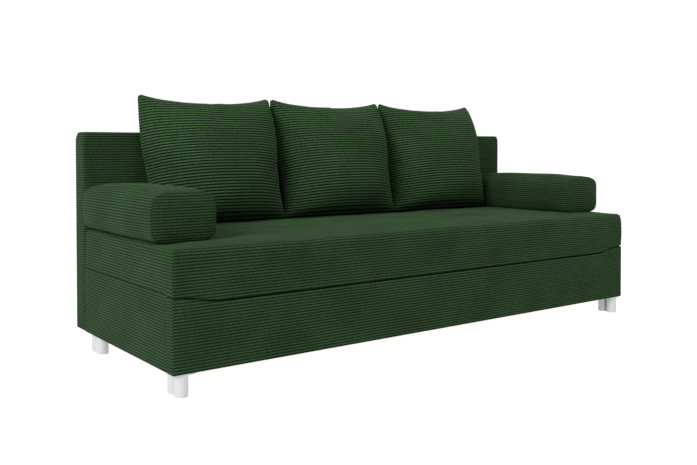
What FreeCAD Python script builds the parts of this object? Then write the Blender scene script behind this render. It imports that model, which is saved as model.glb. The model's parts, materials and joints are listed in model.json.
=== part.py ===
import FreeCAD, Part
import math
import os

os.makedirs("parts", exist_ok=True)
V = FreeCAD.Vector

# Three-seat sofa bed with a bedding box. Millimetres.
# Origin at the middle of the floor footprint, +X to the sitter's left end,
# -Y to the front, +Z up.

# ---- main sizes
HALF = 975.0            # half of the overall length
FRONT = -392.5          # front face of the seat and front panel
REAR = 392.5            # rear face of the back slab
SLAB_Y = 312.5          # front face of the back slab
SEAT_R = 304.5          # rear face of the seat and of the box
FOOT_H = 65.0           # height of the feet
BOX_TOP = 275.0         # top edge of the box sides
SEAT_B = 279.0          # underside of the seat
SEAT_T = 404.0          # top face of the seat
SLAB_T = 732.0          # top edge of the back slab
LIP_MID = 250.0         # top edge of the front panel in the middle
LIP_END = 272.0         # top edge of the front panel at the ends
LIP_FLAT = 830.0        # half length of the straight part of that edge
LIP_D = 40.0            # depth of the front panel and of the seat lip
GAP = 3.0               # gap between the front panel and the seat lip

# ---- pivots of the mechanism, (y, z)
ARM_A = (207.5, 222.0)      # back arm on the box
ARM_B = (347.5, 101.0)      # back arm on the slab
LINK_F = (122.5, 145.0)     # lift link on the carriage
LINK_E = (267.5, 300.0)     # lift link on the seat
TUBE = (262.0, 250.0)       # cross tube of the carriage

# ---- layers of the mechanism, |x|
ARM_X = (905.0, 911.0)
LINK_X = (880.0, 886.0)
NOTCH_X = (899.0, 917.0)


def box(x0, x1, y0, y1, z0, z1):
    return Part.makeBox(x1 - x0, y1 - y0, z1 - z0, V(x0, y0, z0))


def mirror(shape):
    return shape.mirror(V(0, 0, 0), V(1, 0, 0))


def cyl_x(x0, x1, yz, r):
    return Part.makeCylinder(r, x1 - x0, V(x0, yz[0], yz[1]), V(1, 0, 0))


def cyl_z(x, y, z0, z1, r):
    return Part.makeCylinder(r, z1 - z0, V(x, y, z0), V(0, 0, 1))


def plate_yz(pts, x0, x1):
    """Flat plate cut to an outline given in the (y, z) plane."""
    wire = Part.makePolygon([V(x0, p[0], p[1]) for p in pts + pts[:1]])
    return Part.Face(wire).extrude(V(x1 - x0, 0, 0))


def fillet_where(shape, r, pick):
    edges = [e for e in shape.Edges if pick(e.BoundBox)]
    return shape.makeFillet(r, edges)


def bar(p, q, x0, x1, r, hole):
    """Flat link with round ends and a hole at each end, between p and q."""
    dy = q[0] - p[0]
    dz = q[1] - p[1]
    n = math.hypot(dy, dz)
    ny = -dz / n * r * 0.8
    nz = dy / n * r * 0.8
    pts = [(p[0] + ny, p[1] + nz), (q[0] + ny, q[1] + nz),
           (q[0] - ny, q[1] - nz), (p[0] - ny, p[1] - nz)]
    s = plate_yz(pts, x0, x1)
    s = s.fuse([cyl_x(x0, x1, p, r), cyl_x(x0, x1, q, r)]).removeSplitter()
    return s.cut([cyl_x(x0, x1, p, hole), cyl_x(x0, x1, q, hole)])


def save(name, *shapes):
    """One STEP per node. Several equal pieces of one node stay separate solids."""
    shape = shapes[0] if len(shapes) == 1 else Part.makeCompound(list(shapes))
    if not shape.isValid():
        raise RuntimeError("bad shape " + name)
    shape.exportStep("parts/" + name + ".step")


def lip_edge(dz, half, inset):
    """Outline of the front panel's top edge: straight, rising at both ends."""
    z_m = LIP_MID + dz
    z_e = LIP_END + dz
    pole = [V(half, 0, z_e), V(half - 60, 0, z_e), V(LIP_FLAT + 60, 0, z_m), V(LIP_FLAT - inset, 0, z_m)]
    curve = Part.BezierCurve()
    curve.setPoles(pole)
    right = curve.toShape()
    left = mirror(right)
    middle = Part.makeLine(pole[3], V(-pole[3].x, 0, z_m))
    return [right, middle, left]


def panel(dz, half, inset, z_far, y0, y1):
    """Solid between the curved edge and a straight edge at z_far."""
    z_e = LIP_END + dz
    edges = lip_edge(dz, half, inset)
    edges.append(Part.makeLine(V(-half, 0, z_e), V(-half, 0, z_far)))
    edges.append(Part.makeLine(V(-half, 0, z_far), V(half, 0, z_far)))
    edges.append(Part.makeLine(V(half, 0, z_far), V(half, 0, z_e)))
    wire = Part.Wire(Part.__sortEdges__(edges))
    face = Part.Face(wire)
    face.translate(V(0, y0, 0))
    return face.extrude(V(0, y1 - y0, 0))


# ---- feet: two upright silver tubes on one fixing plate, with plastic glides
FOOT_X = 947.0
FOOT_Y = {"front": -347.5, "rear": 261.0}
FOOT_R = 19.5
FOOT_PITCH = 43.0
STUD_X = 925.0
studs = []
glides = []
for end, cy in FOOT_Y.items():
    sy = cy + 18.0 if end == "front" else cy - 18.0
    for side, s in (("right", 1.0), ("left", -1.0)):
        px0 = min(s * 912.0, s * 966.5)
        tube_a = cyl_z(s * FOOT_X, cy - FOOT_PITCH / 2, 3.0, FOOT_H, FOOT_R)
        tube_b = cyl_z(s * FOOT_X, cy + FOOT_PITCH / 2, 3.0, FOOT_H, FOOT_R)
        web = box(s * FOOT_X - 4, s * FOOT_X + 4, cy - 12, cy + 12, 8, FOOT_H)
        plate = box(px0, px0 + 54.5, cy - 41, cy + 41, FOOT_H - 4, FOOT_H)
        foot = tube_a.fuse([tube_b, web, plate]).removeSplitter()
        stud = cyl_z(s * STUD_X, sy, FOOT_H - 4, FOOT_H + 45, 4.0)
        stud = stud.fuse(cyl_z(s * STUD_X, sy, FOOT_H - 9, FOOT_H - 4, 7.5))
        studs.append(stud)
        for k in (-1, 1):
            glides.append(cyl_z(s * FOOT_X, cy + k * FOOT_PITCH / 2, 0, 3.0, FOOT_R - 1.2))
        save("foot_%s_%s" % (end, side), foot.cut(stud))
save("foot_glides", *glides)
save("foot_bolts", *studs)

# ---- bedding box: boards, hardboard floor, corner blocks
side = box(951, 969, FRONT + LIP_D, SEAT_R - 18, FOOT_H + 2, BOX_TOP)
plate_bolts = [cyl_x(945.5, 961, p, 3.0) for p in ((165, 180), (165, 230), (238, 180))]
plate_heads = [cyl_x(943, 945.5, p, 6.0) for p in ((165, 180), (165, 230), (238, 180))]
track_bolts = [cyl_x(946.5, 961, (y, 257.5), 2.5) for y in (-330, -190, -50, 90, 250)]
track_heads = [cyl_x(944.5, 946.5, (y, 257.5), 4.5) for y in (-330, -190, -50, 90, 250)]
fixings = [a.fuse(b) for a, b in zip(plate_bolts + track_bolts, plate_heads + track_heads)]
side = side.cut(fixings)
save("box_side_right", side)
save("box_side_left", mirror(side))
rear = box(-969, 969, SEAT_R - 18, SEAT_R, FOOT_H + 2, BOX_TOP)
for s in (1.0, -1.0):
    x0 = min(s * NOTCH_X[0], s * NOTCH_X[1])
    rear = rear.cut(box(x0, x0 + 18, SEAT_R - 18, SEAT_R, 112, BOX_TOP))
save("box_rear_board", rear)
floor = box(-951, 951, FRONT + LIP_D, SEAT_R - 18, FOOT_H + 2, FOOT_H + 6)
floor = floor.cut(studs)
save("box_floor", floor)
blocks = []
for s in (1.0, -1.0):
    x0 = min(s * 905.0, s * 951.0)
    blocks.append(box(x0, x0 + 46, FRONT + LIP_D, FRONT + LIP_D + 46, FOOT_H + 6, FOOT_H + 60))
    blocks.append(box(x0, x0 + 46, SEAT_R - 64 - 12, SEAT_R - 18, FOOT_H + 6, FOOT_H + 60))
save("box_corner_blocks", *[b.cut(studs) for b in blocks])

# ---- upholstered front panel and side covers
board = panel(-6.0, HALF - 8, -1.0, FOOT_H + 5, FRONT + 7, FRONT + LIP_D - 3)
save("front_panel_board", board)
skin = panel(0.0, HALF, 0.0, FOOT_H, FRONT, FRONT + LIP_D)
hollow = panel(-6.0, HALF - 8, -1.0, FOOT_H + 5, FRONT + 7, FRONT + LIP_D)
skin = fillet_where(skin, 5.0, lambda b: b.YMax < FRONT + 0.1 and b.ZLength < 1.0 and b.XLength > 500)
save("front_panel_cover", skin.cut(hollow))
cover = box(969, HALF, FRONT + LIP_D + 0.5, SEAT_R, FOOT_H, BOX_TOP + 1)
save("side_cover_right", cover)
save("side_cover_left", mirror(cover))

# ---- mechanism parts fixed to the box
pivot_plate = plate_yz([(150, 168), (250, 168), (250, 200), (226, 240), (150, 240)], 947, 951)
pivot_plate = pivot_plate.cut(fixings)
save("pivot_plate_right", pivot_plate)
save("pivot_plate_left", mirror(pivot_plate))
track = box(931, 951, -350, 280, 243, 272).cut(box(931, 948, -350, 280, 246, 269))
track = track.cut(fixings)
save("slide_track_right", track)
save("slide_track_left", mirror(track))
a_pin = cyl_x(903.5, 947, ARM_A, 6.0).fuse(cyl_x(900, 903.5, ARM_A, 10.0))
a_pin = a_pin.fuse(cyl_x(912.5, 947, ARM_A, 9.0))
save("arm_pivot_pins", a_pin, mirror(a_pin))
save("mechanism_screws", *(fixings + [mirror(f) for f in fixings]))

# ---- carriage: two rails with hangers, rollers and one cross tube
rail = box(922, 929.5, -92, 240, 247, 268)
web = box(890, 922, 60, 185, 262, 266)
hang = [(60, 266), (60, 236), (106, 132), (138, 131), (276, 236), (276, 266)]
hanger = plate_yz(hang, 890, 894)
rail = rail.fuse([web, hanger]).removeSplitter()
f_pin = cyl_x(880, 894, LINK_F, 6.0).fuse(cyl_x(876, 880, LINK_F, 9.0))
axles = [cyl_x(922, 943.5, (y, 257.5), 4.0) for y in (-70, 70, 210)]
rail = rail.cut([f_pin, cyl_x(880, 900, TUBE, 10.0)] + axles)
save("carriage_rail_right", rail)
save("carriage_rail_left", mirror(rail))
rollers = [cyl_x(930.5, 943.5, (y, 257.5), 11.2) for y in (-70, 70, 210)]
rollers = [r.fuse(a).removeSplitter() for r, a in zip(rollers, axles)]
save("carriage_rollers", *(rollers + [mirror(r) for r in rollers]))
tube = cyl_x(-894, 894, TUBE, 10.0).cut(cyl_x(-894, 894, TUBE, 8.5))
save("carriage_cross_tube", tube)
save("link_pivot_pins", f_pin, mirror(f_pin))

# ---- lift links between the carriage and the seat
link = bar(LINK_F, LINK_E, LINK_X[0], LINK_X[1], 13.0, 6.08)
save("lift_link_right", link)
save("lift_link_left", mirror(link))

# ---- back arms between the box and the back slab
arm = bar(ARM_A, ARM_B, ARM_X[0], ARM_X[1], 14.0, 6.08)
save("back_arm_right", arm)
save("back_arm_left", mirror(arm))

# ---- back slab: timber frame, foam, cover and hinge pins
b_pin = cyl_x(884, 932, ARM_B, 6.0)
BF0 = SLAB_Y + 15
BF1 = REAR - 12
b_bottom = box(-896, 896, BF0, BF1, 76, 126).cut([b_pin, mirror(b_pin)])
save("back_rail_bottom", b_bottom)
save("back_rail_top", box(-960, 960, BF0, BF1, 676, 721))
stile = box(920, 960, BF0, BF1, 76, 676).cut(b_pin)
save("back_stile_right", stile)
save("back_stile_left", mirror(stile))
posts = [box(x - 20, x + 20, BF0, BF1, 126, 676) for x in (-320, 320)]
save("back_posts", *posts)
save("back_hinge_pins", b_pin, mirror(b_pin))
slots = []
for s in (1.0, -1.0):
    x0 = min(s * NOTCH_X[0], s * NOTCH_X[1])
    slots.append(box(x0, x0 + 18, SLAB_Y - 1, REAR + 1, FOOT_H - 1, FOOT_H + 96))
pad = box(-971.5, 971.5, SLAB_Y + 3.5, REAR - 3.5, FOOT_H + 3.5, SLAB_T - 3.5)
pad = fillet_where(pad, 9.0, lambda b: True)
room = box(-960, 960, BF0, BF1, 76, 721)
save("back_foam", pad.cut([room] + slots))
hull = box(-HALF, HALF, SLAB_Y, REAR, FOOT_H, SLAB_T)
hull = fillet_where(hull, 12.0, lambda b: True)
save("back_cover", hull.cut([pad] + slots))

# ---- seat: timber frame, springs, foam, cover, dust cover, brackets
SF0 = SEAT_B + 2
SF1 = SEAT_B + 47
lip_board = panel(GAP + 4, HALF - 8, 1.0, SF1, FRONT + 12, FRONT + LIP_D - 4)
save("seat_lip_board", lip_board)
save("seat_rail_front", box(-964, 964, FRONT + LIP_D - 4, FRONT + LIP_D + 22, SF0, SF1))
link_gaps = [box(877, 889, 283, SEAT_R + 1, SEAT_B - 1, SEAT_B + 26)]
link_gaps.append(mirror(link_gaps[0]))
save("seat_rail_rear", box(-964, 964, 284, 299, SF0, SF1).cut(link_gaps))
s_side = box(940, 964, FRONT + LIP_D + 22, 284, SF0, SF1)
save("seat_rail_right", s_side)
save("seat_rail_left", mirror(s_side))
bars = [box(x - 14, x + 14, FRONT + LIP_D + 22, 284, SF0, SF1 - 10) for x in (-320, 320)]
save("seat_cross_bars", *bars)
e_pin = cyl_x(880, 892, LINK_E, 6.0).fuse(cyl_x(876, 880, LINK_E, 9.0))
ear = box(888, 892, 205, 284, 283, 322).fuse(box(892, 938, 281, 284, 283, 322))
ear = ear.removeSplitter().cut(e_pin)
save("seat_brackets", ear, mirror(ear))
save("seat_pivot_pins", e_pin, mirror(e_pin))


def spring(x):
    """Zigzag spring wire from the front rail to the rear rail."""
    y = FRONT + LIP_D + 26.0
    z = SF1 - 4.0
    pts = [V(x - 22, y, z)]
    side_now = 1
    while y < 258:
        pts.append(V(x + side_now * 22, y, z))
        y += 22.0
        pts.append(V(x + side_now * 22, y, z))
        side_now = -side_now
    wire = Part.makePolygon(pts)
    ring = Part.Wire(Part.makeCircle(1.9, pts[0], V(1, 0, 0)))
    return wire.makePipeShell([ring], True, True, 1)


save("seat_springs", *[spring(x) for x in (-795, -640, -485, -160, 0, 160, 485, 640, 795)])
dust = box(-860, 860, FRONT + LIP_D + 4, 296, SEAT_B + 0.8, SEAT_B + 2)
save("seat_dust_cover", dust)
core = box(-HALF + 4, HALF - 4, FRONT + 4, SEAT_R - 4, SF1, SEAT_T - 3.5)
core = fillet_where(core, 12.0, lambda b: b.ZMin > SF1 + 1)
save("seat_foam", core)
top = box(-HALF, HALF, FRONT, SEAT_R, SEAT_B, SEAT_T)
top = top.fuse(panel(GAP, HALF, 0.0, SEAT_B + 10, FRONT, FRONT + LIP_D)).removeSplitter()
top = fillet_where(top, 14.0, lambda b: b.ZMin > SEAT_T - 1)
inner = box(-HALF + 4, HALF - 4, FRONT + 4, SEAT_R - 4, SEAT_B, SEAT_T - 3.5)
inner = fillet_where(inner, 12.0, lambda b: b.ZMin > SEAT_T - 5)
lip_in = panel(GAP + 4, HALF - 4, 1.0, SEAT_B + 10, FRONT + 4, FRONT + LIP_D - 3)
save("seat_cover", top.cut([inner, lip_in] + link_gaps))


# ---- loose cushions: filling and cover
def cushion_outline(d):
    """Side view of a leaning back cushion, shrunk by d."""
    pts = [(262, 410), (155, 410), (136, 440), (126, 520), (140, 625), (180, 725), (234, 812),
           (284, 857), (302, 856), (310.5, 830), (310.5, 640), (300, 510)]
    cy = sum(p[0] for p in pts) / len(pts)
    cz = sum(p[1] for p in pts) / len(pts)
    out = []
    for y, z in pts:
        n = math.hypot(y - cy, z - cz)
        out.append((y - (y - cy) / n * d, z - (z - cz) / n * d))
    return out


CUSHION_W = 512.0
for name, x in (("left", -527.0), ("middle", 0.0), ("right", 527.0)):
    h = CUSHION_W / 2
    outer = plate_yz(cushion_outline(0.0), x - h, x + h)
    fill = plate_yz(cushion_outline(5.0), x - h + 4, x + h - 4)
    outer = fillet_where(outer, 6.0, lambda b: b.XLength > 100)
    save("cushion_filling_" + name, fill)
    save("cushion_cover_" + name, outer.cut(fill))

for name, s in (("left", -1.0), ("right", 1.0)):
    x0 = min(s * 787.0, s * HALF)
    outer = box(x0, x0 + 188, -265, SEAT_R, 408, 570)
    outer = fillet_where(outer, 34.0, lambda b: b.YLength > 100 or b.XLength > 150)
    fill = box(x0 + 4, x0 + 184, -261, SEAT_R - 4, 412, 566)
    fill = fillet_where(fill, 30.0, lambda b: b.YLength > 100 or b.XLength > 150)
    save("bolster_filling_" + name, fill)
    save("bolster_cover_" + name, outer.cut(fill))
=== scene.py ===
import json
import math

import bpy
import numpy as np
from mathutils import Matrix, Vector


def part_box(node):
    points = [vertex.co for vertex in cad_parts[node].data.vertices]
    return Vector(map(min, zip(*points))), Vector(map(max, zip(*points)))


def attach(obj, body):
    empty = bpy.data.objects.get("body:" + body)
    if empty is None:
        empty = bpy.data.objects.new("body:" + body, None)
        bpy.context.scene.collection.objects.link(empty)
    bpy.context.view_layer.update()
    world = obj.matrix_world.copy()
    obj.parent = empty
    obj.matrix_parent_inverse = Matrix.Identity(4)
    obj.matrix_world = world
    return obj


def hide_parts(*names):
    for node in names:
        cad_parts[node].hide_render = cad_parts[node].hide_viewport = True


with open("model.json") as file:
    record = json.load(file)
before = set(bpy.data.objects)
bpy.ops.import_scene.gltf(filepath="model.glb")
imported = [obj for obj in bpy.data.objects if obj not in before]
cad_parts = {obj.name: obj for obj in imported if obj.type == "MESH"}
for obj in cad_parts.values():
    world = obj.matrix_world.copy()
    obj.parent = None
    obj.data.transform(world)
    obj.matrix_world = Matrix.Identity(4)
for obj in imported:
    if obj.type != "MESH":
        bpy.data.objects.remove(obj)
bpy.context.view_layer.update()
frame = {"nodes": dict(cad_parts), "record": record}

nodes = frame["nodes"]

# ---- corduroy, in metres
WALE = 0.0086           # wale spacing on the upholstered body
WALE_CUSHION = 0.0112   # wale spacing on the back cushions
DEPTH = 0.0022          # height of a wale above its groove
DEPTH_CUSHION = 0.0030  # the same on the back cushions
STEPS = np.array([0.0, 0.05, 0.15, 0.30, 0.50, 0.70, 0.85, 0.95])  # rows across one wale
SEAM_TUCK = 0.002       # how far a panel's edge is tucked in where it is sewn
ARC_STEPS = 8           # steps round each corner of an outline

# ---- sizes that come from the frame
seat_lo, seat_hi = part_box("seat_cover")
slab_lo, slab_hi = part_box("back_cover")
front_lo, front_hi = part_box("front_panel_cover")
side_lo, side_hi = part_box("side_cover_right")
HALF = seat_hi.x + 0.005              # half length over the covers
SEAT_TOP = seat_hi.z
SEAT_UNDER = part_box("seat_rail_rear")[0].z - 0.002
SLAB_REAR = slab_hi.y + 0.005
SLAB_TOP = slab_hi.z - 0.002

# ---- the curved join between the seat lip and the front panel
LIP_MID = seat_lo.z - 0.003           # top of the front panel, middle
LIP_END = front_hi.z                  # top of the front panel, ends
LIP_GAP = 0.0040                      # gap under the lip, middle
LIP_GAP_END = 0.0020                  # gap under the lip, ends
LIP_DEPTH = front_hi.y - front_lo.y
LIP_ROUND = 0.006                     # how far the fabric rolls in at the join
FLAT = 0.830                          # half length of the straight part of the join
RUN_OUT = 0.012                       # how far before the end the join stops rising

# ---- shapes of the upholstered body
CROWN = 0.007                         # how far the seat top rises in the middle
SEAT_SWELL = 0.003                    # how far the seat front swells forward
SEAT_LEAN = 0.003                     # how far the top of the seat ends leans in
SLAB_DRAW = 0.006                     # how far the top corners of the slab are drawn in
SLAB_TURN = 0.006                     # radius of the slab's end edges
LINK_SLOT = (0.877, 0.889)            # slots in the seat's rear for the lift links
LINK_SLOT_TOP = 0.305
ARM_SLOT = (0.899, 0.917)             # slots in the slab for the back arms
ARM_SLOT_TOP = 0.161


# ------------------------------------------------------------- surfaces
def wales(length, pitch):
    """Rows along a run of corduroy: their places, their heights from -0.5 to 0.5 and the
    number of wales passed. A wale is half an ellipse over one pitch, so the grooves are
    narrow and the tops round."""
    count = max(1, int(round(length / pitch)))
    passed = np.append((np.arange(count)[:, None] + STEPS[None, :]).ravel(), count)
    across = 2 * (passed - np.floor(passed)) - 1
    return passed / count * length, np.sqrt(np.clip(1 - across ** 2, 0, 1)) - 0.5, passed


def rounded(points, radii):
    """Polyline with each inner corner replaced by an arc of its radius."""
    p = np.array(points, float)
    out = [p[:1]]
    for i, r in enumerate(radii, start=1):
        a = (p[i - 1] - p[i]) / np.linalg.norm(p[i - 1] - p[i])
        b = (p[i + 1] - p[i]) / np.linalg.norm(p[i + 1] - p[i])
        half = math.acos(np.clip(a @ b, -1, 1)) / 2
        cut = r / math.tan(half)
        centre = p[i] + (a + b) / np.linalg.norm(a + b) * r / math.sin(half)
        v0 = p[i] + a * cut - centre
        v1 = p[i] + b * cut - centre
        w = np.linspace(0, 1, ARC_STEPS + 1)[:, None]
        turn = math.pi - 2 * half
        out.append(centre + (np.sin((1 - w) * turn) * v0 + np.sin(w * turn) * v1) / math.sin(turn))
    out.append(p[-1:])
    return np.vstack(out)


def resample(path, t):
    """Points and right-hand normals of a polyline at arc lengths t. The normal comes from
    the points a little before and after each one."""
    d = np.concatenate([[0], np.cumsum(np.linalg.norm(np.diff(path, axis=0), axis=1))])
    at = lambda s: np.stack([np.interp(s, d, path[:, k]) for k in (0, 1)], 1)
    reach = 0.0012
    tangent = at(np.minimum(t + reach, d[-1])) - at(np.maximum(t - reach, 0))
    tangent /= np.maximum(np.linalg.norm(tangent, axis=1, keepdims=True), 1e-9)
    return at(t), np.stack([tangent[:, 1], -tangent[:, 0]], 1)


def length_of(path):
    return float(np.linalg.norm(np.diff(path, axis=0), axis=1).sum())


def grid_faces(rows, cols, flip=False, wrap=False):
    """Quads of a grid of points stored row by row; wrap joins the last row to the first."""
    r = np.arange(rows if wrap else rows - 1)[:, None]
    c = np.arange(cols - 1)[None, :]
    n = (r + 1) % rows
    q = np.stack(np.broadcast_arrays(r * cols + c, r * cols + c + 1, n * cols + c + 1, n * cols + c), -1)
    q = q.reshape(-1, 4)
    return q[:, ::-1] if flip else q


def make(name, parts, body, stands_for=(), material=None):
    """One mesh from several (points, quads, weave) parts, where weave holds a UV pair per
    point: along the wales and across them, both counted in wales."""
    co, quads, uv, base = [], [], [], 0
    for points, faces, weave in parts:
        co.append(points.reshape(-1, 3))
        uv.append(weave.reshape(-1, 2))
        quads.append(faces + base)
        base += len(co[-1])
    co, uv, quads = np.vstack(co), np.vstack(uv), np.vstack(quads)
    mesh = bpy.data.meshes.new(name)
    mesh.vertices.add(len(co))
    mesh.vertices.foreach_set("co", co.astype(np.float32).ravel())
    mesh.loops.add(quads.size)
    mesh.loops.foreach_set("vertex_index", quads.ravel().astype(np.int32))
    mesh.polygons.add(len(quads))
    mesh.polygons.foreach_set("loop_start", np.arange(0, quads.size, 4, dtype=np.int32))
    mesh.polygons.foreach_set("use_smooth", np.ones(len(quads), bool))
    layer = mesh.uv_layers.new(name="weave")
    layer.data.foreach_set("uv", uv[quads.ravel()].astype(np.float32).ravel())
    mesh.update(calc_edges=True)
    mesh.validate()
    obj = bpy.data.objects.new(name, mesh)
    bpy.context.scene.collection.objects.link(obj)
    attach(obj, body)
    if stands_for:
        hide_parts(*stands_for)
    mesh.materials.append(material)
    return obj


def normals(P, wrap=False):
    """Unit normals of a grid from its two directions."""
    if wrap:
        du = np.roll(P, -1, 0) - np.roll(P, 1, 0)
    else:
        du = np.gradient(P, axis=0)
    n = np.cross(du, np.gradient(P, axis=1))
    return n / np.maximum(np.linalg.norm(n, axis=2, keepdims=True), 1e-12)


def smooth(x, a, b):
    """Rises from 0 at a to 1 at b with a level start and end."""
    t = np.clip((x - a) / (b - a), 0, 1)
    return t * t * (3 - 2 * t)


def roll_in(edge, r):
    """A quarter circle: 1 at the edge, 0 from the distance r inwards."""
    return 1 - np.sqrt(np.clip(1 - (1 - np.clip(edge / r, 0, 1)) ** 2, 0, 1))


def spline_matrix(fine, coarse, closed=False):
    """Catmull-Rom weights that read coarse samples at the fine positions (0 to coarse-1)."""
    i = np.floor(fine).astype(int)
    if not closed:
        i = np.clip(i, 0, coarse - 2)
    f = fine - i
    w = [-0.5 * f + f ** 2 - 0.5 * f ** 3, 1 - 2.5 * f ** 2 + 1.5 * f ** 3,
         0.5 * f + 2 * f ** 2 - 1.5 * f ** 3, -0.5 * f ** 2 + 0.5 * f ** 3]
    m = np.zeros((len(fine), coarse))
    for k in range(4):
        j = i + k - 1
        j = j % coarse if closed else np.clip(j, 0, coarse - 1)
        np.add.at(m, (np.arange(len(fine)), j), w[k])
    return m


def undulation(rows, cols, knots_r, knots_c, seed):
    """Slow unevenness of stuffed fabric: a small seeded random grid, spline-smoothed."""
    rng = np.random.default_rng(seed)
    g = rng.normal(0, 1, (knots_r, knots_c))
    a = spline_matrix(np.linspace(0, knots_r - 1.001, rows), knots_r)
    b = spline_matrix(np.linspace(0, knots_c - 1.001, cols), knots_c)
    return a @ g @ b.T


def end_columns(half, r, inner, slot):
    """Places along X of a wrapped panel's columns, and how far each column is drawn in
    from the outline: level in between, a quarter turn of radius r at both ends, then a
    small tuck where the end panel is sewn on. The edges of a slot get columns of their
    own."""
    a = np.linspace(0, math.pi / 2, 5)[1:]
    level = np.union1d(np.linspace(0, half - r, inner // 2 + 1), slot)
    x = np.concatenate([level, half - r + r * np.sin(a), [half - SEAM_TUCK]])
    d = np.concatenate([np.zeros(len(level)), r - r * np.cos(a), [r + SEAM_TUCK]])
    return np.concatenate([-x[:0:-1], x]), np.concatenate([d[:0:-1], d])


def wrapped(path, half, r, inner=44, slot=()):
    """Panel of corduroy carried along X over an outline in the (y, z) plane. Wales run
    along X and stand off the outline along its normals. Returns points and weave."""
    t, h, passed = wales(length_of(path), WALE)
    yz, n = resample(path, t)
    x, inset = end_columns(half, r, inner, slot)
    off = h[:, None] * DEPTH - inset[None, :]
    P = np.empty((len(t), len(x), 3))
    P[..., 0] = x[None, :]
    P[..., 1] = yz[:, :1] + n[:, :1] * off
    P[..., 2] = yz[:, 1:] + n[:, 1:] * off
    weave = np.stack(np.broadcast_arrays(x[None, :] / WALE, passed[:, None]), -1)
    return P, weave


def end_panel(side, y0, y1, z0, z1, cols, bulge=0.0, r=0.004):
    """Flat sewn panel facing along X with level wales. Its rim rolls in to the seam by a
    quarter circle of r, and bulge is a sine dome over both ways."""
    wide = y1 - y0
    high = z1 - z0
    t, h, passed = wales(high, WALE)
    rim = np.array([0, r * 0.4, r])
    s = np.concatenate([rim, np.linspace(2 * r, wide - 2 * r, cols), (wide - rim)[::-1]])
    S, T = np.meshgrid(s, t)
    edge = np.minimum(np.minimum(S, wide - S), np.minimum(T, high - T))
    dome = bulge * np.sin(math.pi * S / wide) * np.sin(math.pi * T / high)
    P = np.empty(S.shape + (3,))
    P[..., 0] = side * (HALF - SEAM_TUCK * roll_in(edge, r) + dome + h[:, None] * DEPTH * smooth(edge, 0, r))
    P[..., 1] = y0 + S
    P[..., 2] = z0 + T
    weave = np.stack([S / WALE, np.broadcast_to(passed[:, None], S.shape)], -1)
    return P, grid_faces(*S.shape, flip=side < 0), weave


def slotted(P, faces, slot, top):
    """Faces left after a slot is cut near both ends of the rear, from the lower edge up
    to top."""
    mid = P.reshape(-1, 3)[faces].mean(1)
    across = np.abs(mid[:, 0])
    return faces[~((across > slot[0]) & (across < slot[1]) & (mid[:, 2] < top) & (mid[:, 1] > 0))]


def side_wrap(side, path, y0, y1, r=0.002):
    """Panel carried along Y over an outline in the (x, z) plane, for one end of the sofa.
    Wales run along Y; both ends roll in by r."""
    P, weave = wrapped(path, (y1 - y0) / 2, r, inner=24)
    P = P[..., [1, 0, 2]]
    P[..., 1] += (y0 + y1) / 2
    P[..., 0] *= side
    return P, grid_faces(*P.shape[:2], flip=side > 0), weave


def lip_height(x, z_mid, z_end):
    """Height of the curved join under the seat lip: level, then an easy rise to the ends."""
    return z_mid + (z_end - z_mid) * smooth(np.abs(x), FLAT, HALF - RUN_OUT)


def rolled(depth_in):
    """How far fabric has moved back at a join, from 0 to LIP_ROUND, as depth_in goes from
    0 to 1: a quarter circle."""
    return LIP_ROUND * (1 - np.sqrt(1 - depth_in ** 2))


def draw_in(parts, amount, start):
    """Moves the ends of every part towards the middle by amount, which goes from 0 at
    |x| = start to full at the end."""
    for P, faces, weave in parts:
        P[..., 0] -= np.sign(P[..., 0]) * amount(P[..., 2]) * smooth(np.abs(P[..., 0]), start, HALF)


# ------------------------------------------------------------- materials
def node(tree, kind, **sockets):
    """Adds a node and sets its input sockets by name."""
    n = tree.nodes.new(kind)
    for key, value in sockets.items():
        n.inputs[key].default_value = value
    return n


def maths(tree, op, a, b=None, c=None):
    """Math node whose inputs are numbers or sockets; returns its output."""
    n = tree.nodes.new("ShaderNodeMath")
    n.operation = op
    for i, v in enumerate((a, b, c)):
        if v is None:
            continue
        if isinstance(v, (int, float)):
            n.inputs[i].default_value = v
        else:
            tree.links.new(v, n.inputs[i])
    return n.outputs[0]


def ramp(tree, fac, stops):
    """Colour ramp over fac from a list of (place, colour)."""
    n = tree.nodes.new("ShaderNodeValToRGB")
    e = n.color_ramp.elements
    while len(e) < len(stops):
        e.new(0.5)
    for el, (pos, col) in zip(e, stops):
        el.position = pos
        el.color = (*col, 1)
    tree.links.new(fac, n.inputs[0])
    return n.outputs[0]


def multiplied(tree, a, b):
    """Product of two colour sockets."""
    n = tree.nodes.new("ShaderNodeMix")
    n.data_type = "RGBA"
    n.blend_type = "MULTIPLY"
    factor, first, second = n.inputs[0], n.inputs[6], n.inputs[7]
    factor.default_value = 1.0
    tree.links.new(a, first)
    tree.links.new(b, second)
    return n.outputs[2]


def noise(tree, vector, scale, detail, rough):
    n = node(tree, "ShaderNodeTexNoise", Scale=scale, Detail=detail, Roughness=rough)
    tree.links.new(vector, n.inputs["Vector"])
    return n.outputs[0]


def stretched(tree, vector, scale):
    n = tree.nodes.new("ShaderNodeMapping")
    n.inputs["Scale"].default_value = scale
    tree.links.new(vector, n.inputs["Vector"])
    return n.outputs[0]


def bumped(tree, bsdf, height, strength, distance):
    n = node(tree, "ShaderNodeBump", Strength=strength, Distance=distance)
    tree.links.new(height, n.inputs["Height"])
    tree.links.new(n.outputs[0], bsdf.inputs["Normal"])


def shader(name):
    m = bpy.data.materials.new(name)
    m.use_nodes = True
    return m, m.node_tree, m.node_tree.nodes["Principled BSDF"]


def grey(value):
    return (value, value, value)


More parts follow.
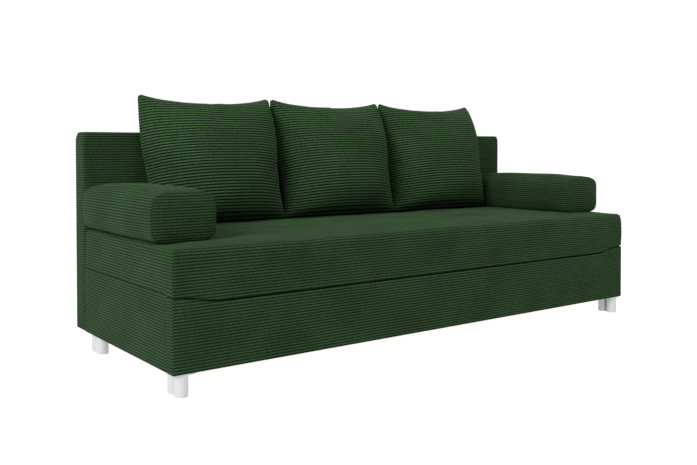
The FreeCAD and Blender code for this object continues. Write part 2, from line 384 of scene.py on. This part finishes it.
def corduroy(name, top, groove_shade, land):
    """Ribbed pile: wale tops in the fabric's own colour, painted shade darkening their flanks
    and the grooves between them, flecks of mixed yarn that run along the wales, slow patches
    of wear and a soft sheen. land sets how wide the lit tops are before the painted shade starts."""
    m, t, b = shader(name)
    uv = t.nodes.new("ShaderNodeUVMap")
    uv.uv_map = "weave"
    sep = t.nodes.new("ShaderNodeSeparateXYZ")
    t.links.new(uv.outputs[0], sep.inputs[0])
    frac = maths(t, "FRACT", sep.outputs[1])
    away = maths(t, "ABSOLUTE", maths(t, "MULTIPLY_ADD", frac, 2.0, -1.0))
    fleck = noise(t, stretched(t, uv.outputs[0], (1.1, 3.2, 1.0)), 1.0, 3.0, 0.7)
    shift = maths(t, "MULTIPLY_ADD", fleck, 0.36, -0.18)
    # painted shade: the flank colour lies half way from the wale top to the dark groove colour, and the ramp
    # below darkens each wale from its top to the groove in place of the shade that falls in the grooves
    flank_shade = tuple(0.5 * a + 0.5 * g for a, g in zip(top, groove_shade))
    wale_top_to_groove_shade = [(0.24 * land, top), (0.60 * land, flank_shade), (0.92 * land, groove_shade)]
    colour = ramp(t, maths(t, "ADD", away, shift), wale_top_to_groove_shade)
    patch = noise(t, stretched(t, uv.outputs[0], (0.055, 0.055, 1.0)), 1.0, 3.0, 0.55)
    colour = multiplied(t, colour, ramp(t, patch, [(0.3, grey(0.80)), (0.7, grey(1.12))]))
    yarn = [(0.34, grey(0.55)), (0.50, grey(0.95)), (0.66, (1.55, 1.52, 1.46))]
    colour = multiplied(t, colour, ramp(t, fleck, yarn))
    t.links.new(colour, b.inputs["Base Color"])
    b.inputs["Roughness"].default_value = 0.92
    b.inputs["Specular IOR Level"].default_value = 0.05
    b.inputs["Sheen Weight"].default_value = 0.06
    b.inputs["Sheen Roughness"].default_value = 0.45
    b.inputs["Sheen Tint"].default_value = (0.42, 0.80, 0.38, 1)
    pile = noise(t, stretched(t, uv.outputs[0], (9.0, 14.0, 1.0)), 1.0, 2.0, 0.6)
    height = maths(t, "MULTIPLY_ADD", fleck, 0.8, maths(t, "MULTIPLY", pile, 0.5))
    bumped(t, b, height, 0.55, 0.0007)
    return m


def plain(name, base, rough, metallic=0.0, grain=(1, 1, 1), scale=60.0, spread=0.15, bump=0.15,
          depth=0.0004, coat=0.0):
    """Solid finish with its own grain: colour, roughness and relief vary with one noise
    stretched along the grain."""
    rough_spread = 0.08
    m, t, b = shader(name)
    place = t.nodes.new("ShaderNodeTexCoord").outputs["Object"]
    g = noise(t, stretched(t, place, grain), scale, 5.0, 0.6)
    dark = tuple(c * (1 - spread) for c in base)
    light = tuple(min(1.0, c * (1 + spread)) for c in base)
    t.links.new(ramp(t, g, [(0.3, dark), (0.7, light)]), b.inputs["Base Color"])
    t.links.new(maths(t, "MULTIPLY_ADD", g, 2 * rough_spread, rough - rough_spread), b.inputs["Roughness"])
    b.inputs["Metallic"].default_value = metallic
    b.inputs["Coat Weight"].default_value = coat
    bumped(t, b, g, bump, depth)
    return m


TOP_GREEN = (0.0172, 0.0385, 0.0150)
# painted shade: the near-black green given to the grooves between the wales, standing in for the shade that
# falls there
GROOVE_SHADE_GREEN = (0.0024, 0.0064, 0.0020)
JUMBO_GREEN = tuple(1.50 * c for c in TOP_GREEN)
cord_body = corduroy("dark green corduroy", TOP_GREEN, GROOVE_SHADE_GREEN, 1.0)
cord_cushion = corduroy("dark green jumbo corduroy", JUMBO_GREEN, GROOVE_SHADE_GREEN, 0.74)
finishes = {
    "corduroy": cord_body,
    "foam": plain("cut foam", (0.80, 0.74, 0.55), 0.95, scale=350, spread=0.10, bump=0.5, depth=0.0006),
    "timber": plain("planed pine", (0.58, 0.40, 0.23), 0.6, grain=(1.2, 14, 14), scale=6, spread=0.22,
                    bump=0.2),
    "chipboard": plain("raw chipboard", (0.50, 0.37, 0.22), 0.8, scale=140, spread=0.28, bump=0.35),
    "hardboard": plain("pressed hardboard", (0.27, 0.16, 0.085), 0.55, scale=260, spread=0.15, bump=0.2),
    "steel": plain("zinc plated steel", (0.58, 0.58, 0.56), 0.32, metallic=1.0, scale=90, spread=0.10,
                   bump=0.05),
    "black_steel": plain("black powder coat", (0.022, 0.022, 0.024), 0.45, scale=900, spread=0.2, bump=0.25,
                         depth=0.0002),
    "silver": plain("silver lacquered plastic", (0.46, 0.46, 0.47), 0.34, metallic=0.5, grain=(1, 1, 0.05),
                    scale=300, spread=0.03, bump=0.03, depth=0.0002, coat=0.3),
    "glide": plain("moulded grey plastic", (0.45, 0.45, 0.46), 0.5, scale=400, spread=0.06, bump=0.1),
    "lining": plain("black non-woven lining", (0.018, 0.018, 0.019), 0.95, scale=700, spread=0.4, bump=0.5),
}
slot_of = {s["node"]: s["material_slot"] for s in frame["record"]["subparts"]}
for name, obj in nodes.items():
    finish = finishes[slot_of[name]]
    for s in obj.material_slots:
        s.material = finish
    if not obj.material_slots:
        obj.data.materials.append(finish)


# ------------------------------------------------------------- seat pad
def seat_crown(x, y):
    """Rise of the seat top: full in the middle, falling level to the four edges."""
    along = 1 - np.abs(x / HALF) ** 5
    mid = (seat_lo.y + seat_hi.y) / 2
    across = 1 - np.abs((y - mid) / (seat_hi.y - mid)) ** 3
    return CROWN * np.clip(along, 0, 1) * np.clip(across, 0, 1)


def near_seat_top(z):
    return smooth(z, SEAT_TOP - 0.05, SEAT_TOP - 0.004)


def seat_wrap():
    """Rear, top, front and lip in one length. The lip's lower edge follows the curved join,
    the top rises by its crown and a slow unevenness, and the front swells forward."""
    lip_z = LIP_MID + LIP_GAP
    lip_y = seat_lo.y + LIP_DEPTH - 0.001
    path = rounded([(seat_hi.y - 0.018, SEAT_UNDER + 0.001), (seat_hi.y, SEAT_UNDER + 0.001),
                    (seat_hi.y, SEAT_TOP), (seat_lo.y, SEAT_TOP), (seat_lo.y, lip_z), (lip_y, lip_z),
                    (lip_y, SEAT_UNDER + 0.004)],
                   [0.004, 0.016, 0.020, 0.004, 0.003])
    P, weave = wrapped(path, HALF, 0.004, slot=LINK_SLOT)
    lip = lip_height(P[..., 0], lip_z, LIP_END + LIP_GAP_END)
    low = (P[..., 1] < seat_lo.y + LIP_DEPTH + 0.002) & (P[..., 2] < lip + LIP_ROUND)
    sunk = np.clip((lip + LIP_ROUND - P[..., 2]) / LIP_ROUND, 0, 1)
    front_row = low & (P[..., 1] < seat_lo.y + LIP_ROUND)
    P[..., 1] = np.where(front_row, P[..., 1] + rolled(sunk), P[..., 1])
    P[..., 2] = np.where(low, np.maximum(P[..., 2], lip), P[..., 2])
    uneven = 0.0012 * undulation(*P.shape[:2], 12, 22, 3)
    P[..., 2] += near_seat_top(P[..., 2]) * (seat_crown(P[..., 0], P[..., 1]) + uneven)
    swell = smooth(P[..., 2], lip_z + 0.02, 0.33) * (1 - smooth(P[..., 2], 0.36, SEAT_TOP - 0.01))
    P[..., 1] -= (P[..., 1] < seat_lo.y + 0.02) * SEAT_SWELL * swell
    return P, slotted(P, grid_faces(*P.shape[:2], flip=True), LINK_SLOT, LINK_SLOT_TOP), weave


def seat_end(side):
    """End of the seat pad. Its lower edge drops to the front panel where it passes over
    it, and its upper edge rises with the crown."""
    path = rounded([(HALF - 0.05, SEAT_UNDER + 0.0005), (HALF, SEAT_UNDER + 0.0005),
                    (HALF, SEAT_TOP - 0.006), (HALF - 0.004, SEAT_TOP - 0.004)], [0.004, 0.003])
    P, faces, weave = side_wrap(side, path, seat_lo.y + 0.004, seat_hi.y - 0.004)
    P[..., 2] += near_seat_top(P[..., 2]) * seat_crown(P[..., 0], P[..., 1])
    over_panel = 1 - smooth(P[..., 1], front_hi.y - 0.002, front_hi.y + 0.004)
    P[..., 2] -= 0.0045 * over_panel * (1 - smooth(P[..., 2], SEAT_UNDER + 0.004, SEAT_UNDER + 0.03))
    return P, faces, weave


def seat_upholstery():
    parts = [seat_wrap(), seat_end(-1), seat_end(1)]
    draw_in(parts, lambda z: SEAT_LEAN * smooth(z, 0.27, SEAT_TOP), 0.90)
    make("seat_upholstery", parts, "seat", ["seat_cover"], material=cord_body)


seat_upholstery()


# ------------------------------------------------------------- front panel of the box
def front_panel_upholstery():
    """Front, top and lower edge in one length, with the top cut down to the curved join
    and rolled back there, and a narrow panel at each end."""
    back_y = front_hi.y - 0.001
    path = rounded([(back_y, LIP_END - 0.03), (back_y, LIP_END), (front_lo.y, LIP_END),
                    (front_lo.y, front_lo.z), (back_y, front_lo.z), (back_y, front_lo.z + 0.004)],
                   [0.003, 0.004, 0.005, 0.003])
    P, weave = wrapped(path, HALF, 0.003, inner=60)
    edge = lip_height(P[..., 0], LIP_MID, LIP_END)
    over = np.clip((P[..., 2] - edge + LIP_ROUND) / LIP_ROUND, 0, 1)
    P[..., 1] = np.where(P[..., 1] < front_lo.y + LIP_ROUND, P[..., 1] + rolled(over), P[..., 1])
    P[..., 2] = np.minimum(P[..., 2], edge)
    parts = [(P, grid_faces(*P.shape[:2], flip=True), weave)]
    for side in (-1, 1):
        parts.append(end_panel(side, front_lo.y + 0.003, front_hi.y + 0.0005, front_lo.z + 0.003, LIP_END,
                               cols=5, r=0.003))
    make("front_panel_upholstery", parts, "base", ["front_panel_cover"], material=cord_body)


front_panel_upholstery()


# ------------------------------------------------------------- box side covers
def box_side_upholstery(word, side):
    """Fabric over one end of the box, turned in over the board's top and lower edges."""
    path = rounded([(side_lo.x - 0.010, side_lo.z), (HALF, side_lo.z), (HALF, side_hi.z + 0.0005),
                    (side_lo.x - 0.017, side_hi.z + 0.0005)], [0.004, 0.004])
    panel = side_wrap(side, path, side_lo.y - 0.001, side_hi.y)
    make("box_side_upholstery_" + word, [panel], "base", ["side_cover_" + word], material=cord_body)


box_side_upholstery("left", -1)
box_side_upholstery("right", 1)


# ------------------------------------------------------------- back slab
def slot_linings(side):
    """Fabric inside one slot of the slab: two upright walls and a top, each a single quad
    that reaches a little past the edge it meets."""
    y = [[slab_lo.y + 0.001, SLAB_REAR - 0.001]] * 2
    parts = []
    for k, x in enumerate(ARM_SLOT):
        w = np.empty((2, 2, 3))
        w[..., 0] = side * x
        w[..., 1] = y
        w[..., 2] = [[slab_lo.z + 0.001] * 2, [ARM_SLOT_TOP + 0.004] * 2]
        parts.append((w, grid_faces(2, 2, flip=(k == 0) == (side > 0)), w[..., 1:] / WALE))
    w = np.empty((2, 2, 3))
    w[..., 0] = [[side * ARM_SLOT[0]] * 2, [side * ARM_SLOT[1]] * 2]
    w[..., 1] = y
    w[..., 2] = ARM_SLOT_TOP + 0.003
    parts.append((w, grid_faces(2, 2, flip=side < 0), w[..., :2] / WALE))
    return parts


def backrest_upholstery():
    """One length round the slab, slotted for the back arms, with an end panel at each end
    and the top corners drawn in."""
    path = rounded([(slab_lo.y + 0.04, slab_lo.z), (SLAB_REAR, slab_lo.z), (SLAB_REAR, SLAB_TOP),
                    (slab_lo.y, SLAB_TOP), (slab_lo.y, slab_lo.z), (slab_lo.y + 0.04, slab_lo.z)],
                   [0.007, 0.009, 0.009, 0.007])
    P, weave = wrapped(path, HALF, SLAB_TURN, slot=ARM_SLOT)
    parts = [(P, slotted(P, grid_faces(*P.shape[:2], flip=True), ARM_SLOT, ARM_SLOT_TOP), weave)]
    for side in (-1, 1):
        parts.append(end_panel(side, slab_lo.y + SLAB_TURN, SLAB_REAR - SLAB_TURN,
                               slab_lo.z + SLAB_TURN, SLAB_TOP - SLAB_TURN, cols=8, bulge=0.001))
    draw_in(parts, lambda z: SLAB_DRAW * smooth(z, SLAB_TOP - 0.035, SLAB_TOP) ** 2, 0.92)
    for side in (-1, 1):
        parts += slot_linings(side)
    make("backrest_upholstery", parts, "backrest", ["back_cover"], material=cord_body)


backrest_upholstery()


# ------------------------------------------------------------- stuffed pieces
def inflate(co, faces, pressure, cap):
    """Blows up a closed cloth from inside with Blender's Cloth, gravity off, and returns
    its points, each moved no further than cap from where it started."""
    mesh = bpy.data.meshes.new("stuffing_shape")
    mesh.from_pydata(co.tolist(), [], faces.tolist())
    obj = bpy.data.objects.new("stuffing_shape", mesh)
    bpy.context.scene.collection.objects.link(obj)
    s = obj.modifiers.new("Cloth", "CLOTH").settings
    s.quality = 6
    s.mass = 0.35
    s.tension_stiffness = 25
    s.compression_stiffness = 10
    s.shear_stiffness = 12
    s.bending_stiffness = 1.2
    s.use_pressure = True
    s.uniform_pressure_force = pressure
    s.effector_weights.gravity = 0
    scene = bpy.context.scene
    for frame_number in range(1, 21):
        scene.frame_set(frame_number)
    blown = obj.evaluated_get(bpy.context.evaluated_depsgraph_get())
    out = np.empty(len(co) * 3, np.float32)
    blown.data.vertices.foreach_get("co", out)
    scene.frame_set(1)
    bpy.data.objects.remove(obj)
    move = out.reshape(-1, 3).astype(float) - co
    size = np.linalg.norm(move, axis=1, keepdims=True)
    return co + move * np.minimum(1, cap / np.maximum(size, 1e-9))


def soft_floor(value, floor, width):
    """Keeps value above floor, easing in over width."""
    return floor + width * np.logaddexp(0, (value - floor) / width)


def fine_panel(coarse, rows, cols):
    """Bicubic reading of a coarse grid at finer rows and columns, each from 0 to 1."""
    a = spline_matrix(rows * (coarse.shape[0] - 1), coarse.shape[0])
    b = spline_matrix(cols * (coarse.shape[1] - 1), coarse.shape[1])
    return np.einsum("ri,ijk,cj->rck", a, coarse, b)


def rim_mask(rows, cols):
    rim = np.zeros((rows, cols), bool)
    rim[[0, -1], :] = True
    rim[:, [0, -1]] = True
    return rim


# ---- back cushions
CUSHION_W = 0.534             # seam to seam, flat
CUSHION_H = 0.472
CUSHION_FRONT = 0.130         # how far the front stands off the seam plane
CUSHION_REAR = 0.085
CUSHION_WAIST = 0.008         # how far the lower sides draw in and the upper sides swell out
CUSHION_SAG = 0.023           # how far the head seam dips half way
CUSHION_FOOT = 0.212          # where the foot seam stands, along Y
CUSHION_LEAN = math.radians(14.5)
EAR = 0.016                   # radius of a cushion's corners


def pillow_cloth(rows, cols):
    """Two panels sewn round their rim. Each rises from the rim as a dome, the product of a
    rounded rise across each way, fuller at the foot than at the head. The side rims draw
    in below and swell out above, and the head rim dips. Returns the front and back coarse
    grids after inflating."""
    v, u = np.meshgrid(np.linspace(-1, 1, rows), np.linspace(-1, 1, cols), indexing="ij")
    rise = lambda w, power, root: np.clip(1 - np.abs(w) ** power, 0, 1) ** root
    belly = rise(u, 2.4, 0.79 - 0.17 * v) * np.where(v > 0, rise(v, 2.8, 0.62), rise(v, 3.6, 0.50))
    rear = rise(u, 4.0, 0.50) * rise(v, 4.5, 0.50)
    X = u * (CUSHION_W / 2 - CUSHION_WAIST * (1 - v ** 2) * (1 - 2 * smooth(v, -0.6, 0.5)))
    Z = v * CUSHION_H / 2 - CUSHION_SAG * (1 - u ** 2) * smooth(v, -0.3, 1.0)
    front = np.stack([X, -CUSHION_FRONT * belly, Z], -1)
    back = np.stack([X, CUSHION_REAR * rear, Z], -1)
    rim = rim_mask(rows, cols)
    index = np.arange(rows * cols).reshape(rows, cols)
    inner = np.where(rim, index, 0)
    inner[~rim] = rows * cols + np.arange((~rim).sum())
    co = np.vstack([front.reshape(-1, 3), back[~rim]])
    f = grid_faces(rows, cols)
    co = inflate(co, np.vstack([f, inner.ravel()[f][:, ::-1]]), 4.0, 0.007)
    return co[index], co[inner]


CUSHION_PANELS = pillow_cloth(25, 27)


def leaned(P, centre, flip):
    """Cushion points set in place: the seam plane leans back, the rear is pressed flat
    against the slab up to the slab's top, and the foot is pressed flat on the seat."""
    X = P[..., 0] * flip + centre
    up = P[..., 2] + CUSHION_H / 2
    y = CUSHION_FOOT + P[..., 1] * math.cos(CUSHION_LEAN) + up * math.sin(CUSHION_LEAN)
    z = SEAT_TOP + 0.005 + up * math.cos(CUSHION_LEAN) - P[..., 1] * math.sin(CUSHION_LEAN)
    over_slab = smooth(z, SLAB_TOP - 0.004, SLAB_TOP + 0.018)
    stop = slab_lo.y - 0.0022 + 0.06 * over_slab
    y = stop - soft_floor(stop - y, 0.0, 0.003)
    z = soft_floor(z, SEAT_TOP + 0.0016 + seat_crown(X, y), 0.004)
    return np.stack([X, y, z], -1)


def back_cushion(word, seed, mirrored):
    """Inflated pillow with raised wales and slow lumps on both panels, both fading out at
    the rim, and its four corners rounded by EAR."""
    low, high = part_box("cushion_cover_" + word)
    t, h, passed = wales(CUSHION_H * 1.06, WALE_CUSHION)
    cols = np.concatenate([[0, 0.004, 0.012, 0.024], np.linspace(0.04, 0.96, 56), [0.976, 0.988, 0.996, 1]])
    rows = t / t[-1]
    near_corner = np.clip((np.abs(2 * rows - 1) * CUSHION_H / 2 - CUSHION_H / 2 + EAR) / EAR, 0, 1)
    ear = 1 - EAR * (1 - np.sqrt(1 - near_corner ** 2)) / (CUSHION_W / 2)
    from_foot = np.minimum(rows, 1 - rows)[:, None] * CUSHION_H
    from_side = np.minimum(cols, 1 - cols)[None, :] * CUSHION_W
    rim = np.minimum(from_foot, from_side)
    along = cols[None, :] * CUSHION_W / WALE_CUSHION
    weave = np.stack(np.broadcast_arrays(along, passed[:, None]), -1) + seed * 50.0
    parts = []
    for grid, face in zip(CUSHION_PANELS, (1, -1)):
        P = fine_panel(grid, rows, cols)
        P[..., 0] *= ear[:, None]
        n = normals(P)
        n *= np.sign((n[..., 1] * -face).sum()) or 1
        lump = undulation(len(rows), len(cols), 7, 7, seed + face) * 0.0022 * smooth(rim, 0, 0.08)
        P += n * (h[:, None] * DEPTH_CUSHION * smooth(rim, 0.0, 0.008) + lump)[..., None]
        Q = leaned(P, (low.x + high.x) / 2, -1.0 if mirrored else 1.0)
        parts.append((Q, grid_faces(*Q.shape[:2], flip=(face < 0) != mirrored), weave))
    make("loose_back_cushion_" + word, parts, "back_cushion_" + word,
         ["cushion_cover_" + word, "cushion_filling_" + word], material=cord_cushion)


back_cushion("left", 1, False)
back_cushion("middle", 2, True)
back_cushion("right", 3, False)


# ---- arm bolsters
BOLSTER_W = 0.202
BOLSTER_H = 0.146
BOLSTER_L = 0.568
BOLSTER_CORNER = 0.040        # radius of the long edges
BOLSTER_BARREL = 0.004        # how much wider each side is half way
BOLSTER_CROWN = 0.006         # how much higher it is half way
BOLSTER_SEAM = 0.003          # how far the long panel rolls in at the end seams
BOLSTER_SHIFT = 0.003         # both bolsters lie a little to the right
BOLSTER_OUT = 0.006           # and a little out over the ends of the seat


def bolster_cloth(ring, rows):
    """Box bolster: a rounded rectangle carried along Y, a little wider and higher half way,
    closed by two flat end panels whose rim is the first and last ring. End panel rows are
    level, each as wide as the rounded rectangle is at its height."""
    n = ring // 4 + 1
    a = np.linspace(-1, 1, n)
    a = 0.5 * a + 0.5 * np.sin(a * math.pi / 2)
    v, u = np.meshgrid(a, a, indexing="ij")
    into_corner = np.abs(v) * BOLSTER_H / 2 - BOLSTER_H / 2 + BOLSTER_CORNER
    t = np.clip(into_corner / BOLSTER_CORNER, 0, 1)
    X = u * (BOLSTER_W / 2 - BOLSTER_CORNER * (1 - np.sqrt(1 - t * t)))
    Z = v * BOLSTER_H / 2
    index = np.arange(n * n).reshape(n, n)
    loop = np.concatenate([index[0, :-1], index[:-1, -1], index[-1, :0:-1], index[:0:-1, 0]])
    y = np.linspace(-BOLSTER_L / 2, BOLSTER_L / 2, rows)
    swell = 1 - (2 * y / BOLSTER_L) ** 2
    wrap = np.empty((len(loop), rows, 3))
    wrap[..., 0] = X.ravel()[loop][:, None] * (1 + swell * BOLSTER_BARREL / (BOLSTER_W / 2))
    wrap[..., 1] = y[None, :]
    wrap[..., 2] = Z.ravel()[loop][:, None] * (1 + swell * BOLSTER_CROWN / (BOLSTER_H / 2))
    start = np.stack([X, np.full_like(X, y[0]), Z], -1)
    end = np.stack([X, np.full_like(X, y[-1]), Z], -1)
    rim = rim_mask(n, n)
    co = np.vstack([wrap.reshape(-1, 3), start[~rim], end[~rim]])
    base = len(loop) * rows
    ids = []
    for k, col in ((0, 0), (1, rows - 1)):
        grid = np.zeros((n, n), int)
        grid.ravel()[loop] = np.arange(len(loop)) * rows + col
        grid[~rim] = base + k * (~rim).sum() + np.arange((~rim).sum())
        ids.append(grid)
    faces = np.vstack([grid_faces(len(loop), rows, wrap=True), ids[0].ravel()[grid_faces(n, n)],
                       ids[1].ravel()[grid_faces(n, n, flip=True)]])
    co = inflate(co, faces, 3.0, 0.005)
    return co[:base].reshape(len(loop), rows, 3), co[ids[0]], co[ids[1]]


BOLSTER_CLOTH = bolster_cloth(32, 23)


def bolster_wrap(wrap, side):
    """The long panel: wales run along Y, spaced evenly round the girth, with slow lumps,
    and both ends roll in to the seams by a quarter circle."""
    middle = wrap[:, wrap.shape[1] // 2]
    run = np.linalg.norm(np.roll(middle, -1, 0) - middle, axis=1)
    t, h, passed = wales(float(run.sum()), WALE)
    t, h, passed = t[:-1], h[:-1], passed[:-1]
    place = np.interp(t, np.concatenate([[0], np.cumsum(run)]), np.arange(len(run) + 1))
    near_seam = np.array([0, 0.001, 0.0025, 0.006, 0.015])
    cols = np.concatenate([near_seam, np.linspace(0.035, 0.965, 44), [0.985, 0.994, 0.9975, 0.999, 1]])
    a = spline_matrix(place, len(wrap), closed=True)
    b = spline_matrix(cols * (wrap.shape[1] - 1), wrap.shape[1])
    P = np.einsum("ri,ijk,cj->rck", a, wrap, b)
    n = normals(P, wrap=True)
    n *= np.sign((n[..., 0] * P[..., 0] + n[..., 2] * P[..., 2]).sum())
    from_end = np.minimum(cols, 1 - cols) * BOLSTER_L
    roll = BOLSTER_SEAM * (1 - np.sqrt(1 - np.clip(1 - from_end / BOLSTER_SEAM, 0, 1) ** 2))
    lump = undulation(len(t), len(cols), 9, 7, 11 + side) * 0.0012 * smooth(from_end, 0, 0.06)[None, :]
    lump *= smooth(np.minimum(t, t[-1] - t), 0, 0.05)[:, None]
    P += n * (h[:, None] * DEPTH * smooth(from_end, 0, 0.007)[None, :] + lump - roll[None, :])[..., None]
    weave = np.stack(np.broadcast_arrays(cols[None, :] * BOLSTER_L / WALE, passed[:, None]), -1)
    last = weave[:1] + [0, passed[-1] + 1 - STEPS[-1]]
    P = np.concatenate([P, P[:1]])
    return P, grid_faces(*P.shape[:2]), np.concatenate([weave, last])


def bolster_end(grid, face):
    """A flat end panel with level wales, drawn in to meet the long panel at the seam."""
    t, h, passed = wales(BOLSTER_H, WALE)
    heights = (grid[:, 0, 2] - grid[0, 0, 2]) / (grid[-1, 0, 2] - grid[0, 0, 2])
    rows = np.interp(t / t[-1], heights, np.linspace(0, 1, len(grid)))
    cols = np.linspace(0, 1, 29)
    P = fine_panel(grid, rows, cols)
    P[..., 0] *= 1 - 2 * BOLSTER_SEAM / BOLSTER_W
    P[..., 2] *= 1 - 2 * BOLSTER_SEAM / BOLSTER_H
    rim = np.minimum(np.minimum(rows, 1 - rows)[:, None] * BOLSTER_H,
                     np.minimum(cols, 1 - cols)[None, :] * BOLSTER_W)
    P[..., 1] += face * h[:, None] * DEPTH * smooth(rim, 0, 0.007)
    weave = np.stack(np.broadcast_arrays(cols[None, :] * BOLSTER_W / WALE, passed[:, None]), -1)
    return P, grid_faces(*P.shape[:2], flip=face > 0), weave


def arm_bolster(word, side):
    """Inflated box bolster lying on the seat, its underside pressed flat on the seat and
    its rear end against the slab."""
    low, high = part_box("bolster_cover_" + word)
    wrap, start, end = BOLSTER_CLOTH
    centre = np.array([(low.x + high.x) / 2 + BOLSTER_SHIFT + side * BOLSTER_OUT,
                       slab_lo.y - 0.003 - BOLSTER_L / 2, SEAT_TOP + 0.001 + BOLSTER_H / 2])
    parts = []
    for P, faces, weave in (bolster_wrap(wrap, side), bolster_end(start, -1), bolster_end(end, 1)):
        Q = P + centre
        ground = SEAT_TOP + 0.0016 + seat_crown(Q[..., 0], Q[..., 1])
        Q[..., 2] = soft_floor(Q[..., 2], ground, 0.003)
        Q[..., 1] = np.minimum(Q[..., 1], slab_lo.y - 0.0025)
        parts.append((Q, faces, weave))
    make("loose_arm_bolster_" + word, parts, "arm_bolster_" + word,
         ["bolster_cover_" + word, "bolster_filling_" + word], material=cord_body)


arm_bolster("left", -1)
arm_bolster("right", 1)


# ------------------------------------------------------------- stage, light, camera
def studio_floor():
    mesh = bpy.data.meshes.new("floor")
    mesh.from_pydata([(-30, -30, 0), (30, -30, 0), (30, 30, 0), (-30, 30, 0)], [], [(0, 1, 2, 3)])
    floor = bpy.data.objects.new("floor", mesh)
    bpy.context.scene.collection.objects.link(floor)
    m, t, b = shader("pale studio floor")
    b.inputs["Base Color"].default_value = (0.16, 0.16, 0.16, 1)
    b.inputs["Roughness"].default_value = 0.9
    b.inputs["Specular IOR Level"].default_value = 0.0
    b.inputs["Emission Color"].default_value = (1, 1, 1, 1)
    b.inputs["Emission Strength"].default_value = 0.96
    mesh.materials.append(m)


def studio_surround():
    """White all round: full strength where it is seen, softer where it lights the sofa."""
    world = bpy.data.worlds.new("studio")
    bpy.context.scene.world = world
    world.use_nodes = True
    t = world.node_tree
    lit = t.nodes["Background"]
    lit.inputs["Color"].default_value = (1, 1, 1, 1)
    lit.inputs["Strength"].default_value = 0.82
    seen = node(t, "ShaderNodeBackground", Color=(1, 1, 1, 1), Strength=1.0)
    light_path = t.nodes.new("ShaderNodeLightPath")
    blend = t.nodes.new("ShaderNodeMixShader")
    t.links.new(light_path.outputs["Is Camera Ray"], blend.inputs[0])
    t.links.new(lit.outputs[0], blend.inputs[1])
    t.links.new(seen.outputs[0], blend.inputs[2])
    t.links.new(blend.outputs[0], t.nodes["World Output"].inputs["Surface"])


def area_light(name, place, size, power):
    """Square light aimed at the middle of the sofa."""
    light = bpy.data.lights.new(name, "AREA")
    light.shape = "SQUARE"
    light.size = size
    light.energy = power
    obj = bpy.data.objects.new(name, light)
    bpy.context.scene.collection.objects.link(obj)
    obj.location = place
    d = np.array((0.0, 0.0, 0.4)) - np.array(place)
    tip = math.atan2(math.hypot(d[0], d[1]), -d[2])
    obj.rotation_euler = (tip, 0, math.atan2(d[1], d[0]) - math.pi / 2)


def main_camera():
    """Eye-level view from the left front corner."""
    camera = bpy.data.cameras.new("camera")
    obj = bpy.data.objects.new("camera", camera)
    bpy.context.scene.collection.objects.link(obj)
    bpy.context.scene.camera = obj
    obj.location = (-1.9099, -2.4991, 0.6814)
    obj.rotation_euler = (math.radians(90 - 1.167), 0, math.radians(-38.245))
    camera.sensor_width = 36.0
    camera.lens = 43.21
    camera.shift_x = -0.0556
    camera.shift_y = -0.0986


studio_floor()
studio_surround()
area_light("key light", (-6.3, -2.3, 3.7), 3.0, 680)
area_light("front fill", (2.2, -4.2, 3.4), 3.0, 100)
area_light("top light", (0.3, -0.4, 3.6), 2.5, 30)
main_camera()
bpy.context.scene.view_settings.view_transform = "Standard"
